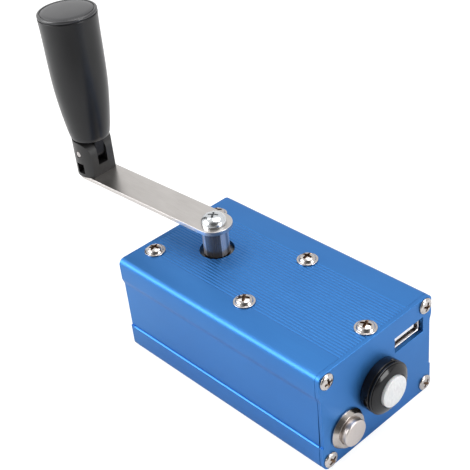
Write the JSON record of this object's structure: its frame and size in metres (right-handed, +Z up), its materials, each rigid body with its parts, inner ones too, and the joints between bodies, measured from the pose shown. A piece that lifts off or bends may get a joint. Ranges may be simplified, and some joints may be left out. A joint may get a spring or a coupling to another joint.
{
  "type": "hand crank generator",
  "caption": "Hand crank generator: blue aluminium box with a folding crank handle on top, and a USB socket, a round lamp and a metal push button in the front plate.",
  "frame": {"origin": "centre of the underside of the housing", "axes": "+X along the housing towards the plate with the socket, +Y across it towards the socket's side, +Z up"},
  "size_m": [0.1485, 0.052, 0.111],
  "materials": {
    "blue_shell": "satin blue anodised",
    "plated": "polished nickel plate",
    "crank_steel": "satin",
    "blackened": "black oxide",
    "dark_plastic": "fine matte",
    "lamp_black": "glossy",
    "window": "frosted white",
    "reflector": "bright",
    "led": "yellow phosphor on a white board",
    "brass": "turned",
    "copper": "enamelled copper",
    "core": "laminated",
    "magnet": "dark sintered",
    "board_green": "solder mask",
    "white_plastic": "moulded",
    "can_cap": "printed sleeve without text",
    "chip_black": "matte",
    "lead_red": "insulated",
    "lead_grey": "insulated",
    "lead_black": "insulated"
  },
  "bodies": {
    "housing": {"upper_shell": "blue_shell", "lower_shell": "blue_shell", "front_plate": "blue_shell", "rear_plate": "blue_shell", "front_plate_screws": "plated", "rear_plate_screws": "plated", "gearbox_screws": "plated", "board_screw": "plated", "gearbox_top_plate": "crank_steel", "gearbox_low_plate": "crank_steel", "gearbox_pillars": "brass", "gearbox_plate_screws": "plated", "shaft_bush_upper": "brass", "shaft_bush_lower": "brass", "idler_shafts": "crank_steel", "motor_can": "core", "motor_cap": "chip_black", "motor_bearings": "brass", "stator_core": "core", "stator_coils": "copper", "motor_screws": "plated", "circuit_board": "board_green", "board_spacer": "brass", "board_nut": "plated", "usb_shell": "plated", "usb_insert": "white_plastic", "usb_contacts": "brass", "board_capacitors": "can_cap", "board_chips": "chip_black", "power_coil": "copper", "lamp_bezel": "lamp_black", "lamp_lens": "window", "lamp_reflector": "reflector", "lamp_led": "led", "lamp_nut": "lamp_black", "button_body": "plated", "button_spring": "crank_steel", "button_nut": "plated", "generator_leads": "lead_red", "lamp_leads": "lead_grey", "button_leads": "lead_black"},
    "crank": {"crank_hub": "crank_steel", "crank_arm": "crank_steel", "crank_screw": "plated", "output_shaft": "crank_steel", "hinge_base": "dark_plastic", "hinge_base_screw": "plated", "hinge_pin": "crank_steel", "crank_gear": "crank_steel"},
    "handle": {"handle_stem": "blackened", "stem_washer": "crank_steel", "stem_screw": "plated"},
    "grip": {"grip": "dark_plastic", "grip_cap": "dark_plastic"},
    "first_idler": {"first_idler": "brass"},
    "second_idler": {"second_idler": "brass"},
    "rotor": {"motor_pinion": "brass", "rotor_shaft": "crank_steel", "rotor_magnet": "magnet"},
    "button": {"button_cap": "plated"}
  },
  "joints": [
    {"name": "crank_spin", "type": "hinge", "parent": "housing", "child": "crank", "pos_m": [-0.0244, 0, 0.0487], "axis": [0, 0, 1], "continuous": true},
    {"name": "handle_fold", "type": "hinge", "parent": "crank", "child": "handle", "pos_m": [-0.08544, -0.00274, 0.0578], "axis": [-0.0448, 0.999, 0], "range_deg": [0, 87]},
    {"name": "grip_spin", "type": "hinge", "parent": "handle", "child": "grip", "pos_m": [-0.08544, -0.00274, 0.0827], "axis": [0, 0, 1], "continuous": true},
    {"name": "first_idler_spin", "type": "hinge", "parent": "housing", "child": "first_idler", "pos_m": [-0.00796, 0.00732, 0.028], "axis": [0, 0, 1], "continuous": true},
    {"name": "second_idler_spin", "type": "hinge", "parent": "housing", "child": "second_idler", "pos_m": [-0.00546, -0.00442, 0.025], "axis": [0, 0, 1], "continuous": true},
    {"name": "rotor_spin", "type": "hinge", "parent": "housing", "child": "rotor", "pos_m": [0.00441, -0.00083, 0.02], "axis": [0, 0, 1], "continuous": true},
    {"name": "button_press", "type": "slide", "parent": "housing", "child": "button", "axis": [-1, 0, 0], "range_m": [0, 0.0015], "stiffness_N_per_m": 400, "springref_m": -0.002}
  ],
  "couplings": [
    {"joint": "first_idler_spin", "follows": "crank_spin", "ratio": -5},
    {"joint": "second_idler_spin", "follows": "crank_spin", "ratio": 15},
    {"joint": "rotor_spin", "follows": "crank_spin", "ratio": -37.5}
  ]
}
